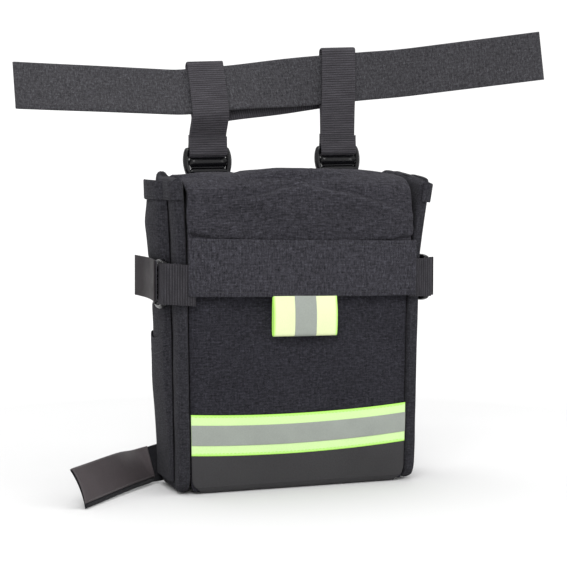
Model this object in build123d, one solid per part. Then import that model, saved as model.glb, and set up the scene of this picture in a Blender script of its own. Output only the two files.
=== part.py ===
"""Belt-hung first responder pouch with lid, side straps, reflective trim and a leg strap.

Millimetres, +Z up, the front faces -Y and +X is to the right as seen from the front.
The origin is the centre of the belt, midway between the two hanger straps.
"""

from build123d import *
from math import cos, degrees, radians, sin
import os

# Belt
BELT_HEIGHT = 40.0
BELT_THICK = 2.6
BELT_SLOPE = 7.8  # degrees, rising to the right
LEFT_SLOPE = 0.6  # the left run is nearly level
RIGHT_SLOPE = 6.3
BELT_LEAN = 22.0  # degrees, top edge leaning back on the left
STRAIGHT_HALF = 80.0  # the belt is straight this far each way
TWIST_HALF = 32.0  # the belt twists between the hangers, clear of their travel

# Webbing and buckles
WEB_WIDTH = 30.0
WEB_THICK = 1.5
HANGER_X = 56.0
BAR_R = 1.8
PIVOT_R = 2.0
PIVOT_TILT = 2.8  # degrees, the pivot axis rises to the right with the belt
BUCKLE_THICK = 3.6
HANGER_PITCH = 21.5  # from a loop buckle's top bar down to its pivot bar
HANGER_GAP = 2.2  # room in front of and behind the belt, together
HANGER_SLACK = 3.3  # room above the sloping belt, and again below it

# Pouch
DROP = 317.0  # belt centre down to the pouch's base
HEIGHT = 236.0
BACK_Y = -4.0
FRONT_Y = -62.0
HALF_TOP = 91.5  # half width of the front panel at the top
HALF_BASE = 87.0
SIDE_THICK = 9.5
FLARE = 9.0  # the sides open outwards by this much at the top
FLARE_FROM = 178.0  # height where they start to open
SIDE_TOP = HEIGHT + 4.0
GAP = 0.3

# Lid, heights above the pouch's base
HINGE_Y = -11.0
HINGE_Z = 238.5
LID_THICK = 3.0
LID_HALF = 90.5
BAND_LOW = 147.0
BAND_HIGH = 190.0
BAND_HALF = 93.0

# Side straps
STRAP_Z = 161.0
BUCKLE_X = 107.4
BUCKLE_Y = -57.0
BUCKLE_PITCH = 19.0  # from the front bar to the rear bar
ANCHOR_X = 102.2  # inner face of the sewn strap end on the side

PIVOT_HEIGHT = 240.5  # the loop buckles' lower bars, above the pouch's base
TOP_BAR_HEIGHT = PIVOT_HEIGHT + HANGER_PITCH
BASE_Z = -DROP
TAPER = (HALF_TOP - HALF_BASE) / HEIGHT
SIDE_STATIONS = (FLARE_FROM, 193.0, 208.0, 223.0, SIDE_TOP)


def up(height):
    """Row height of a place given as a height above the pouch's base."""
    return BASE_Z + height


def half_width(height):
    """Half width of the front panel at a height above the base."""
    return HALF_BASE + TAPER * height


def flare(height):
    """How far the side is opened outwards at a height above the base."""
    share = max(0.0, (height - FLARE_FROM) / (SIDE_TOP - FLARE_FROM))
    return FLARE * share**2


def side_line(height, off):
    """X of a surface that lies a given distance outside the left side panel."""
    return -(half_width(height) + SIDE_THICK + off + flare(height))


def side_strip(low, high, near, far):
    """Outline in (x, z) that follows the left side, from near to far outside it at the top.

    near and far are pairs: the distance at the low end and at the high end."""
    between = [height for height in SIDE_STATIONS if low < height < high]
    heights = [low, *between, high]
    edges = []
    for at_low, at_high in (near, far):
        offs = [at_low + (at_high - at_low) * (height - low) / (high - low) for height in heights]
        edges.append([(side_line(height, off), up(height)) for height, off in zip(heights, offs)])
    return polygon(*edges[0], *reversed(edges[1]))


def side_view(sketch, x_low, x_high):
    """Solid with a (y, z) outline that runs from x_low to x_high."""
    plane = Plane(origin=(x_low, 0, 0), x_dir=(0, 1, 0), z_dir=(1, 0, 0))
    return extrude(plane * sketch, amount=x_high - x_low)


def front_view(sketch, y_front, y_back):
    """Solid with an (x, z) outline that runs from y_back to y_front."""
    plane = Plane(origin=(0, y_back, 0), x_dir=(1, 0, 0), z_dir=(0, -1, 0))
    return extrude(plane * sketch, amount=y_back - y_front)


def top_view(sketch, z_low, z_high):
    """Solid with an (x, y) outline that runs from z_low to z_high."""
    return extrude(Plane.XY.offset(z_low) * sketch, amount=z_high - z_low)


def polygon(*points):
    return make_face(Polyline(*points, close=True))


def box(x, y, z):
    """Box between three (low, high) pairs."""
    size = [high - low for low, high in (x, y, z)]
    centre = [(high + low) / 2 for low, high in (x, y, z)]
    return Pos(*centre) * Box(*size)


def bar_along_x(x, y, z, radius, length):
    return Pos(x, y, z) * Rot(0, 90, 0) * Cylinder(radius, length)


def trapezium(low, high, inset=0.0):
    """Front outline of a panel as wide as the pouch between two heights."""
    a = half_width(low) - inset
    b = half_width(high) - inset
    return polygon((-a, up(low)), (a, up(low)), (b, up(high)), (-b, up(high)))


def mirrored(shape):
    return mirror(shape, about=Plane.YZ)


# ---------------------------------------------------------------- flat ribbons


def ribbon_section(centre, heading, slope, lean, thick, height):
    """Rectangle across a flat strap that runs along heading and slope, all in degrees."""
    run = Vector(
        cos(radians(heading)) * cos(radians(slope)),
        sin(radians(heading)) * cos(radians(slope)),
        sin(radians(slope)),
    )
    across = Vector(-sin(radians(heading)), cos(radians(heading)), 0)
    across = across.rotate(Axis((0, 0, 0), run), -lean)
    plane = Plane(origin=centre, x_dir=across, z_dir=run)
    return plane * Rectangle(thick, height)


def belt_lean(along):
    """The lean fades from the left hanger to the right hanger."""
    share = (TWIST_HALF - along) / (2 * TWIST_HALF)
    return BELT_LEAN * min(1.0, max(0.0, share))


def belt_place(along):
    """Centre, heading and slope of the belt at a distance from its middle."""
    slope = radians(BELT_SLOPE)
    centre = Vector(along * cos(slope), 0, along * sin(slope))
    return centre, 0.0, BELT_SLOPE


def belt():
    """The left part runs on a little flatter, and the right part bends forward."""
    left_run = 128.0
    bend_steps, bend_step_angle, bend_step = 5, -5.4, 9.0
    right_run = 105.0
    sections = []
    half = TWIST_HALF / 2
    straight = (-STRAIGHT_HALF, -TWIST_HALF, -half, 0.0, half, TWIST_HALF, STRAIGHT_HALF)
    for along in straight:
        centre, heading, slope = belt_place(along)
        sections.append((centre, heading, slope, belt_lean(along)))
    first = sections[0][0]
    run = radians(LEFT_SLOPE)
    end = first - Vector(left_run * cos(run), 0, left_run * sin(run))
    sections.insert(0, (end, 0.0, LEFT_SLOPE, BELT_LEAN))
    centre = sections[-1][0]
    run = radians(RIGHT_SLOPE)
    heading = 0.0
    for step in range(bend_steps + 1):
        turn = bend_step_angle if step < bend_steps else 0.0
        length = bend_step if step < bend_steps else right_run
        way = radians(heading + turn)
        move = Vector(cos(way) * cos(run), sin(way) * cos(run), sin(run))
        centre = centre + move * length
        heading = heading + turn
        sections.append((centre, heading, RIGHT_SLOPE, 0.0))
    faces = [ribbon_section(*place, BELT_THICK, BELT_HEIGHT) for place in sections]
    return loft(faces, ruled=True)


def bridge_strap():
    """Strip behind the belt that joins the two hanger straps."""
    end_gap, thick = 2.8, 1.4
    half_length = HANGER_X - WEB_WIDTH / 2 - end_gap
    back_off = BELT_THICK / 2 + HANGER_GAP
    drop_left, drop_right = 13.0, 8.5
    faces = []
    for share in (0.0, 0.25, 0.5, 0.75, 1.0):
        along = half_length * (2 * share - 1)
        centre, heading, slope = belt_place(along)
        lean = belt_lean(along)
        drop = drop_left + (drop_right - drop_left) * share
        back = Vector(0, cos(radians(lean)), -sin(radians(lean)))
        tall = Vector(0, sin(radians(lean)), cos(radians(lean)))
        middle = centre + back * back_off - tall * drop
        faces.append(ribbon_section(middle, heading, slope, lean, thick, WEB_WIDTH))
    return loft(faces, ruled=True)


# ------------------------------------------------------------------- hangers


def tilted(shape):
    """Shape turned with the pivot axis, about the pivot's middle."""
    turn = Pos(0, 0, up(PIVOT_HEIGHT)) * Rot(0, -PIVOT_TILT, 0) * Pos(0, 0, -up(PIVOT_HEIGHT))
    return turn * shape


def hanger_strap(x, lean):
    """Webbing round the belt, sewn into a double layer and folded round the buckle's top bar."""
    middle = belt_place(x / cos(radians(BELT_SLOPE)))[0].Z
    inner_height = BELT_HEIGHT + 2 * HANGER_SLACK
    inner_gap = BELT_THICK + HANGER_GAP
    outer = RectangleRounded(inner_gap + 2 * WEB_THICK, inner_height + 2 * WEB_THICK, 3.0)
    inner = RectangleRounded(inner_gap, inner_height, 1.6)
    ring = Pos(0, middle) * Rot(0, 0, -lean) * (outer - inner)
    reach = inner_height / 2 + WEB_THICK / 2
    top = (-reach * sin(radians(lean)), middle - reach * cos(radians(lean)))
    bar_z = up(TOP_BAR_HEIGHT)
    rise = x * sin(radians(PIVOT_TILT))
    layer = 1.6
    slab_end = bar_z + rise + BAR_R + 1.9
    slab = polygon(
        (top[0] - layer, top[1]),
        (-layer, slab_end),
        (layer, slab_end),
        (top[0] + layer, top[1]),
    )
    fold = Pos(0, bar_z) * (Circle(BAR_R + 0.5 + WEB_THICK) - Circle(BAR_R + 0.5))
    low, high = x - WEB_WIDTH / 2, x + WEB_WIDTH / 2
    hook = tilted(side_view(fold, low, high))
    return side_view(ring, low, high) + side_view(slab, low, high) + hook


def tri_glide(length, pivot_radius, half_width_middle, thick):
    """Buckle with bars along X: a top bar at z = 0, a centre bar, and a lower bar."""
    inner = WEB_WIDTH / 2 + 0.5
    half_end = inner + 2.2
    low, high = -length - 2.4, 2.2
    outline = make_face(
        [
            Line((-half_end, high), (half_end, high)),
            ThreePointArc((half_end, high), (half_width_middle, (low + high) / 2), (half_end, low)),
            Line((half_end, low), (-half_end, low)),
            ThreePointArc((-half_end, low), (-half_width_middle, (low + high) / 2), (-half_end, high)),
        ]
    )
    outline = fillet(outline.vertices(), 2.0)
    plate = front_view(outline, -thick / 2, thick / 2)
    plate = fillet(plate.edges().group_by(Axis.Y)[0], 0.9)
    plate = fillet(plate.edges().group_by(Axis.Y)[-1], 0.9)
    rails = plate - box((-inner, inner), (-thick, thick), (low - 1, high + 1))
    top = bar_along_x(0, 0, 0, BAR_R, 2 * inner)
    pivot = bar_along_x(0, 0, -length, pivot_radius, 2 * inner)
    centre_z = -length * 0.58
    centre = box((-inner, inner), (-thick / 2 + 0.4, thick / 2 - 0.4), (centre_z - 2, centre_z + 2))
    return rails + top + pivot + centre


def loop_buckle(x):
    """Tri-glide that the pouch hangs from; its lower bar is the pivot."""
    return tilted(Pos(x, 0, up(TOP_BAR_HEIGHT)) * tri_glide(HANGER_PITCH, PIVOT_R, 19.3, BUCKLE_THICK))


def anchor_webbing(x):
    """Webbing sewn to the back panel and folded round the lower bar of a loop buckle."""
    bar_z = up(PIVOT_HEIGHT)
    thick = 1.4
    inside, outside = PIVOT_R + 0.4, PIVOT_R + 0.4 + thick
    low, high = x - WEB_WIDTH / 2, x + WEB_WIDTH / 2
    end = up(196.0)
    fold = Pos(0, bar_z) * (Circle(outside) - Circle(inside))
    front = Pos(-(inside + outside) / 2, (end + bar_z) / 2) * Rectangle(thick, bar_z - end)
    rear = polygon(
        (outside, bar_z),
        (inside, bar_z),
        (inside, up(234.0)),
        (-inside, up(224.0)),
        (-inside, end),
        (-inside + thick, end),
        (-inside + thick, up(223.0)),
        (outside, up(233.0)),
    )
    made = side_view(fold, low, high) + side_view(front, low, high) + side_view(rear, low, high)
    return tilted(made)


# --------------------------------------------------------------------- pouch


def back_panel():
    return front_view(trapezium(2.0, HEIGHT, GAP), BACK_Y - 4.0, BACK_Y)


def back_board():
    """Stiffening board against the inside of the back panel."""
    return front_view(trapezium(6.0, HEIGHT - 8.0, 5.0), BACK_Y - 5.6, BACK_Y - 4.1)


def lid_seam():
    """Bound edge on the back panel that the lid folds from."""
    seam = box((-LID_HALF, LID_HALF), (HINGE_Y + 1.9, BACK_Y - 1.6), (up(HEIGHT + 0.2), up(HEIGHT + 3.0)))
    return fillet(seam.edges().filter_by(Axis.X), 1.2)


def front_panel():
    return front_view(trapezium(2.0, 226.0, GAP), FRONT_Y, FRONT_Y + 3.0)


def base_panel():
    half = half_width(0.0) - GAP
    return box((-half, half), (FRONT_Y + 3.2, BACK_Y - 4.2), (up(0.0), up(3.0)))


def base_board():
    """Stiffening board that lies on the base panel."""
    half = half_width(0.0) - 6.0
    return box((-half, half), (FRONT_Y + 7.0, BACK_Y - 8.0), (up(3.2), up(4.8)))


def front_base_patch():
    """Coated patch over the lower front, with rounded lower corners."""
    patch = front_view(trapezium(0.0, 33.0, GAP), FRONT_Y - 1.2, FRONT_Y - 0.05)
    corners = patch.edges().filter_by(Axis.Y).group_by(Axis.Z)[0]
    return fillet(corners, 7.0)


def sagging_strip(low, high, sag, y_front, y_back):
    """Strip across the front whose two edges sag in the middle."""
    a, b = half_width(low) - GAP, half_width(high) - GAP
    outline = make_face(
        [
            ThreePointArc((-a, up(low)), (-a * 0.2, up(low - sag)), (a, up(low))),
            Line((a, up(low)), (b, up(high))),
            ThreePointArc((b, up(high)), (-b * 0.2, up(high - sag)), (-b, up(high))),
            Line((-b, up(high)), (-a, up(low))),
        ]
    )
    return front_view(outline, y_front, y_back)


def stripe_lime():
    return sagging_strip(31.5, 62.0, 4.5, FRONT_Y - 1.9, FRONT_Y - 1.3)


def stripe_silver():
    return sagging_strip(39.0, 54.5, 4.5, FRONT_Y - 2.35, FRONT_Y - 1.95)


def side_panel():
    """Left padded side: rounded front edge and lower corners, opening outwards at the top."""
    y_front, y_back = FRONT_Y - 2.5, BACK_Y
    y_middle, depth = (y_front + y_back) / 2, y_back - y_front
    sections = []
    for height in (1.0, *SIDE_STATIONS):
        middle_x = side_line(height, -SIDE_THICK / 2)
        plan = Rectangle(SIDE_THICK, depth)
        plan = fillet(plan.vertices().group_by(Axis.Y)[0], 4.4)
        sections.append(Pos(middle_x, y_middle, up(height)) * plan)
    body = loft(sections, ruled=True)
    lower = Pos(y_middle, up(1.0 + 60)) * RectangleRounded(depth, 120, 16.0)
    upper = Pos(y_middle, up(160.0)) * Rectangle(depth, 200)
    return body & side_view(lower + upper, -HALF_TOP - SIDE_THICK - 2 * FLARE, -HALF_BASE + 1)


def side_pocket():
    """Left pocket: a sheet that stands off the side at its mouth, closed at both seams and below."""
    mouth, narrow, foot = HEIGHT - 2.0, 193.0, 10.0
    wall, far = 1.05, 7.6
    outer = side_strip(narrow, mouth, (0.2, 0.2), (2.0, far))
    outer = outer + side_strip(foot, narrow, (0.2, 0.2), (2.0, 2.0))
    cavity = side_strip(narrow, mouth + 1, (0.1, 0.1), (2.0 - wall, far - wall))
    cavity = cavity + side_strip(2 * foot, narrow, (0.1, 0.1), (2.0 - wall, 2.0 - wall))
    sheet = front_view(outer, FRONT_Y + 2.0, BACK_Y - 2.0)
    return sheet - front_view(cavity, FRONT_Y + 3.2, BACK_Y - 3.2)


def pocket_hem():
    """Folded hem round the mouth of the left side pocket."""
    strip = side_strip(223.0, HEIGHT - 2.0, (6.15, 7.8), (6.8, 8.45))
    return front_view(strip, FRONT_Y + 2.0, BACK_Y - 2.0)


def lower_pocket():
    """Flat lower pocket sewn over the left side pocket, with a sagging mouth."""
    strip = polygon(
        (side_line(8.0, 2.1), up(8.0)),
        (side_line(8.0, 3.0), up(8.0)),
        (side_line(122.0, 3.0), up(122.0)),
        (side_line(122.0, 2.1), up(122.0)),
    )
    sheet = front_view(strip, FRONT_Y + 2.0, BACK_Y - 2.0)
    middle_y = (FRONT_Y + BACK_Y) / 2
    mouth = Pos(middle_y, up(172.0)) * Circle(56.0)
    return sheet - side_view(mouth, -140, -60)


def side_anchor():
    """Sewn end of the left side strap, flat against the side under the buckle."""
    low, high = STRAP_Z - WEB_WIDTH / 2, STRAP_Z + WEB_WIDTH / 2
    thick, front_y = 1.4, -46.0
    return box((-ANCHOR_X - thick, -ANCHOR_X), (front_y, BACK_Y - 1.0), (up(low), up(high)))


def fastener_patch(y_front, y_back):
    """Strip of touch fastener under the lid's band."""
    return box((-60, 60), (y_front, y_back), (up(150), up(186)))


def loop_patch():
    return fastener_patch(FRONT_Y - 0.9, FRONT_Y - 0.05)


def inner_elastic():
    """Elastic strip on the back wall, sewn into four loops that hold rolled dressings."""
    loops, pitch, bulge = 4, 34.0, 9.0
    wall = BACK_Y - 6.0
    strip = None
    for index in range(loops):
        x = (index - (loops - 1) / 2) * pitch
        left, right = (x - pitch / 2, wall), (x + pitch / 2, wall)
        outer = make_face([ThreePointArc(left, (x, wall - bulge), right), Line(right, left)])
        cut_left, cut_right = (x - pitch / 2 + 1.6, wall), (x + pitch / 2 - 1.6, wall)
        hollow = make_face(
            [ThreePointArc(cut_left, (x, wall - bulge + 1.2), cut_right), Line(cut_right, cut_left)]
        )
        part = top_view(outer - hollow, up(128.0), up(158.0))
        strip = part if strip is None else strip + part
    return strip


def leg_strap_base():
    """Part of the leg strap that lies behind the pouch, sewn at its right end."""
    return box((-94.5, 82.0), (BACK_Y + 0.2, BACK_Y + 2.0), (up(3.0), up(36.0)))


# Centre (height above the base last), heading and lean of the leg strap's free end
LEG_PATH = (
    ((-97.2, -2.9, 19.0), 180.0, 0.0),
    ((-104.0, -2.9, 18.8), 183.0, 0.0),
    ((-110.5, -5.2, 18.4), 204.0, -5.0),
    ((-115.5, -10.0, 18.0), 226.0, -12.0),
    ((-143.0, -40.5, 16.0), 228.0, -26.0),
    ((-171.0, -70.5, 15.0), 228.0, -34.0),
)


def leg_ribbon(thick, height, off, lift, first):
    """Flat strap along the leg strap's free end, moved outwards by off and up its face by lift."""
    faces = []
    for (x, y, z), heading, lean in LEG_PATH[first:]:
        centre = Vector(x, y, up(z))
        way, tip = radians(heading), radians(lean)
        outward = Vector(-sin(way) * cos(tip), cos(way) * cos(tip), -sin(tip))
        upward = Vector(-sin(way) * sin(tip), cos(way) * sin(tip), cos(tip))
        place = centre + outward * off + upward * lift
        faces.append(ribbon_section(place, heading, 0.0, lean, thick, height))
    return loft(faces, ruled=True)


def leg_strap_tip():
    return leg_ribbon(1.8, 32.0, 0.0, 0.0, 0)


def leg_strap_grip():
    """Coated patch on the outer face of the leg strap's end."""
    return leg_ribbon(1.0, 27.0, 1.5, 2.0, 2)


# ----------------------------------------------------------------------- lid


def lid_profile(inset, y_front):
    """Side line of the lid: from the hinge, over the crest and down the front."""
    return [
        (HINGE_Y, up(HINGE_Z)),
        (HINGE_Y - 12.0, up(246.5) - inset),
        (HINGE_Y - 34.0, up(247.5) - inset),
        (y_front, up(238.5)),
        (y_front, up(BAND_LOW)),
    ]


def lid_panel():
    """One piece of padded cloth, hinged along the back seam."""
    middle = FRONT_Y - 3.7
    path = FilletPolyline(*lid_profile(LID_THICK / 2, middle), radius=11.0)
    body = side_view(trace(path, LID_THICK), -LID_HALF, LID_HALF)
    return body + bar_along_x(0, HINGE_Y, up(HINGE_Z), LID_THICK / 2, 2 * LID_HALF)


def lid_band():
    """Wide sewn band along the lower edge of the lid."""
    y_back = FRONT_Y - 5.25
    band = box((-BAND_HALF, BAND_HALF), (y_back - 2.9, y_back), (up(BAND_LOW), up(BAND_HIGH)))
    return fillet(band.edges().filter_by(Axis.X), 0.9)


def hook_patch():
    return fastener_patch(FRONT_Y - 2.15, FRONT_Y - 1.35)


def band_strap():
    """Left webbing from the band's end, round the corner and folded round the buckle's front bar."""
    y = FRONT_Y - 6.7
    outer_x = -(BUCKLE_X + 2.75)
    path = FilletPolyline(
        (-BAND_HALF - 0.1, y), (outer_x + 1.5, y), (outer_x, BUCKLE_Y), radius=5.0
    )
    run = trace(path, WEB_THICK)
    fold = Pos(-BUCKLE_X, BUCKLE_Y) * (Circle(3.5) - Circle(2.1))
    low, high = up(STRAP_Z - WEB_WIDTH / 2), up(STRAP_Z + WEB_WIDTH / 2)
    return top_view(run, low, high) + top_view(fold, low, high)


def side_buckle():
    """Left tri-glide on the side, its bars upright and its top bar at the front."""
    upright = Plane(origin=(-BUCKLE_X, BUCKLE_Y, up(STRAP_Z)), x_dir=(0, 0, 1), z_dir=(0, -1, 0))
    return upright.location * tri_glide(BUCKLE_PITCH, 1.7, 18.6, 3.2)


def tail_strip(thick, off, start, length):
    """Upright strip beside the line of the left strap tail, off to its outer side."""
    root, tip = Vector(-110.7, -46.0), Vector(-118.9, -16.8)
    run = (tip - root).normalized()
    out = Vector(-run.Y, run.X) * off
    path = Line(root + run * start + out, root + run * (start + length) + out)
    return trace(path, thick)


def strap_tail():
    """Free end of the left side strap, folded back over the buckle."""
    low = up(STRAP_Z + 1 - WEB_WIDTH / 2)
    return top_view(tail_strip(1.4, 0.0, 0.0, 30.0), low, low + WEB_WIDTH)


def tail_grip():
    """Coated patch on the outer face of the left strap tail."""
    low = up(STRAP_Z + 2 - WEB_WIDTH / 2)
    return top_view(tail_strip(1.0, 1.25, 3.0, 28.5), low, low + WEB_WIDTH)


# ------------------------------------------------------------------ pull tab


TAB_Y = FRONT_Y - 7.2
TAB_HIGH = 144.9  # the fold that the tab turns on
TAB_LOW = 115.5
TAB_MIDDLE = 130.0  # where it bulges most


def tab_front(off, high):
    """Bulged line down the tab's front, off in front of its core."""
    return ThreePointArc(
        (TAB_Y - 1.7 - off, up(high)),
        (TAB_Y - 3.2 - off, up(TAB_MIDDLE)),
        (TAB_Y - 1.4 - off, up(TAB_LOW)),
    )


def pull_tab_lime():
    """Folded yellow tape, a little bulged, that hangs from the band's lower edge."""
    front = tab_front(0.0, TAB_HIGH)
    rear_high = (TAB_Y + 1.7, up(TAB_HIGH))
    rear_low = (TAB_Y + 1.4, up(TAB_LOW))
    top = ThreePointArc(rear_high, (TAB_Y, up(TAB_HIGH + 1.7)), front @ 0)
    outline = make_face([front, Line(front @ 1, rear_low), Line(rear_low, rear_high), top])
    return side_view(outline, -26.0, 26.0)


def pull_tab_silver():
    """Reflective strip down the middle of the tab's front."""
    inner, outer = tab_front(0.25, TAB_HIGH - 1.0), tab_front(0.65, TAB_HIGH - 1.0)
    outline = make_face([inner, Line(inner @ 1, outer @ 1), outer, Line(outer @ 0, inner @ 0)])
    return side_view(outline, -8.5, 8.5)


# -------------------------------------------------------------------- export


def parts():
    made = {
        "belt_section": belt(),
        "bridge_strap": bridge_strap(),
        "left_hanger_strap": hanger_strap(-HANGER_X, BELT_LEAN),
        "right_hanger_strap": hanger_strap(HANGER_X, 0.0),
        "back_panel": back_panel(),
        "back_board": back_board(),
        "lid_seam": lid_seam(),
        "front_panel": front_panel(),
        "base_panel": base_panel(),
        "base_board": base_board(),
        "front_base_patch": front_base_patch(),
        "stripe_lime": stripe_lime(),
        "stripe_silver": stripe_silver(),
        "loop_patch": loop_patch(),
        "inner_elastic": inner_elastic(),
        "leg_strap_base": leg_strap_base(),
        "leg_strap_tip": leg_strap_tip(),
        "leg_strap_grip": leg_strap_grip(),
        "lid_panel": lid_panel(),
        "lid_band": lid_band(),
        "hook_patch": hook_patch(),
        "pull_tab_lime": pull_tab_lime(),
        "pull_tab_silver": pull_tab_silver(),
    }
    for side, x in (("left", -HANGER_X), ("right", HANGER_X)):
        made[side + "_loop_buckle"] = loop_buckle(x)
        made[side + "_anchor_webbing"] = anchor_webbing(x)
    pairs = {
        "side_panel": side_panel(),
        "side_pocket": side_pocket(),
        "pocket_hem": pocket_hem(),
        "lower_pocket": lower_pocket(),
        "side_anchor": side_anchor(),
        "band_strap": band_strap(),
        "side_buckle": side_buckle(),
        "strap_tail": strap_tail(),
        "tail_grip": tail_grip(),
    }
    for name, shape in pairs.items():
        made["left_" + name] = shape
        made["right_" + name] = mirrored(shape)
    return made


os.makedirs("parts", exist_ok=True)
for node, shape in parts().items():
    export_step(shape, f"parts/{node}.step")
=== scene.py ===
"""Looks of the belt-hung first responder pouch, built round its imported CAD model.

Lengths are in millimetres in this file's own helpers, and turned into metres when a mesh is made.
+Z is up, the front faces -Y and +X is to the right as seen from the front.
"""

import math

import bmesh
import bpy
import numpy as np
from mathutils import Matrix, Vector, noise


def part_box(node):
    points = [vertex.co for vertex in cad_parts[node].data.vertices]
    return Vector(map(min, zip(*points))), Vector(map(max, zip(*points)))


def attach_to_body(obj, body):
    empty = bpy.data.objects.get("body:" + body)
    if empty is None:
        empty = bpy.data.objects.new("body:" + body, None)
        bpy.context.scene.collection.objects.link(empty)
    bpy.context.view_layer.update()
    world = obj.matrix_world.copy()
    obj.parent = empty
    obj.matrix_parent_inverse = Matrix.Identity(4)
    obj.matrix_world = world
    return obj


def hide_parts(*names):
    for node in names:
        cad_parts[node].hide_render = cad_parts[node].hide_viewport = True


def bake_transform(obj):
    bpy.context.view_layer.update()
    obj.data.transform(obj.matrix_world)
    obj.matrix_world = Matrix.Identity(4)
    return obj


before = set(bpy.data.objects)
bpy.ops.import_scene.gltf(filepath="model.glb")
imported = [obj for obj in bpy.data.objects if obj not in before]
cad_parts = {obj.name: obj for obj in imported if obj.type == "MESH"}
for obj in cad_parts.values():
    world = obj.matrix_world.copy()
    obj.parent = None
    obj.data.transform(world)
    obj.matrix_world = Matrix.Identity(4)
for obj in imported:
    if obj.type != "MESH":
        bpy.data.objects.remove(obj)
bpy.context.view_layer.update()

MM = 0.001
UV = "cloth"
WHITE = (1.0, 1.0, 1.0, 1.0)
LEFT, RIGHT = -1, 1
SIDES = ((LEFT, "left"), (RIGHT, "right"))


def cad(node):
    """Lowest and highest corner of a CAD node, in millimetres."""
    low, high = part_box(node)
    return np.array(low) / MM, np.array(high) / MM


# ---------------- driving sizes

BASE = cad("base_panel")[0][2]
FRONT_Y = cad("front_panel")[0][1]
BACK_Y = cad("back_panel")[1][1]
HALF_TOP, HALF_BASE = 91.5, 87.0
EDGE = 0.3  # gap between the front's pieces and the sides
HEIGHT = 236.0
SIDE_THICK = 9.5
SIDE_TOP = HEIGHT + 4.0
FLARE = {LEFT: 2.0, RIGHT: 8.5}  # how far each side opens outwards at its top
FLARE_FROM = 170.0
LOOSE = {LEFT: 5.0, RIGHT: 3.5}  # how far the side pockets puff out above and below the strap
TUFT = {LEFT: 5.0, RIGHT: 1.5}  # the padding's top stands up a little beside the back seam
TOP_RISE = {LEFT: (-2.0, -6.0), RIGHT: (8.0, -2.5)}  # rise of each side's top, at its back and at its front
POCKET_FRONT, POCKET_BACK = FRONT_Y + 12.5, BACK_Y - 2.0
POCKET_MOUTH, LOWER_MOUTH = 234.0, 121.0
HEM = (222.2, 237.8)  # lower and upper edge of the side pocket's hem
STRIPE_SAG = 4.5

BELT_HEIGHT, BELT_THICK = 40.0, 2.6
BELT_LEAN = 22.0
WEB_WIDTH, WEB_THICK = 30.0, 1.5
RIB, RIB_DEPTH = 1.9, 0.34  # pitch and depth of the webbing's ribs
HANGER_X = 56.0
PIVOT_TILT = 2.8
TILT = math.radians(PIVOT_TILT)
ALONG, UPWARD = (math.cos(TILT), 0, math.sin(TILT)), (-math.sin(TILT), 0, math.cos(TILT))
PIVOT_HEIGHT, HANGER_PITCH = 240.5, 21.5
HINGE_Y, HINGE_HEIGHT = -11.0, 238.5
BAND_LOW, BAND_HIGH = 147.0, 190.0
BAND_LEFT, BAND_RIGHT = -91.5, 94.0
BAND_Y = FRONT_Y - 6.7
STRAP_HEIGHT = 161.0
STRAP_DROP = {LEFT: 4.4, RIGHT: 0.0}  # how much lower than its tail the band strap hangs
BUCKLE_X, BUCKLE_Y = 107.4, -57.0


def up(height):
    """Row height of a place given as a height above the pouch's base."""
    return BASE + height


def half_width(height):
    """Half of the width between the sides: the pouch is a little wider at its top."""
    return HALF_BASE + (HALF_TOP - HALF_BASE) * height / HEIGHT


def ease(value, low, high):
    """0 below low, 1 above high, smooth between."""
    share = np.clip((np.asarray(value, float) - low) / (high - low), 0, 1)
    return share * share * (3 - 2 * share)


def bell(value, middle, spread):
    return np.exp(-(((value - middle) / spread) ** 2))


def surface(x, y, z):
    """Points from three coordinates, each a number or an array, spread over each other."""
    return np.stack(np.broadcast_arrays(x, y, z), axis=-1)


def ripple(points, size, seed=0.0):
    """Smooth noise from -1 to 1 at each point, with features of about that size."""
    flat = np.asarray(points, float).reshape(-1, 3) / size + seed
    values = [noise.noise(Vector(p)) for p in flat]
    return np.array(values).reshape(np.asarray(points).shape[:-1])


# ---------------- mesh helpers


def placed(name, data):
    """Object in the scene that shows a mesh, a light or a camera."""
    obj = bpy.data.objects.new(name, data)
    bpy.context.scene.collection.objects.link(obj)
    return obj


def piece(name, verts, faces, material, uvs=None):
    """Mesh object from points in millimetres."""
    mesh = bpy.data.meshes.new(name)
    mesh.from_pydata((np.asarray(verts) * MM).tolist(), [], faces)
    bm = bmesh.new()
    bm.from_mesh(mesh)
    bmesh.ops.recalc_face_normals(bm, faces=bm.faces)
    bm.to_mesh(mesh)
    bm.free()
    mesh.polygons.foreach_set("use_smooth", [True] * len(mesh.polygons))
    if uvs is not None:
        layer = mesh.uv_layers.new(name=UV)
        corner = np.empty(len(mesh.loops), int)
        mesh.loops.foreach_get("vertex_index", corner)
        layer.data.foreach_set("uv", (np.asarray(uvs) * MM)[corner].astype(np.float32).ravel())
    mesh.materials.append(material)
    return placed(name, mesh)


def quads(rows, cols, first=0, flip=False):
    made = []
    for r in range(rows - 1):
        for c in range(cols - 1):
            a = first + r * cols + c
            face = (a, a + 1, a + cols + 1, a + cols)
            made.append(face[::-1] if flip else face)
    return made


def travelled(line):
    """Distance travelled along a line at each of its points."""
    return np.concatenate([[0.0], np.cumsum(np.linalg.norm(np.diff(line, axis=0), axis=1))])


def running(grid, axis):
    """Mean distance travelled along an axis of a grid of points."""
    steps = np.linalg.norm(np.diff(grid, axis=axis), axis=2).mean(axis=1 - axis)
    return np.concatenate([[0.0], np.cumsum(steps)])


def normals(grid):
    across = np.cross(np.gradient(grid, axis=0), np.gradient(grid, axis=1))
    return across / np.maximum(np.linalg.norm(across, axis=2, keepdims=True), 1e-9)


def rounded(distance, radius):
    """Half thickness factor of a round edge at a distance from it."""
    inside = 1 - np.clip(distance / radius, 0, 1)
    return np.sqrt(np.maximum(1 - inside**2, 0.02))


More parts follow.
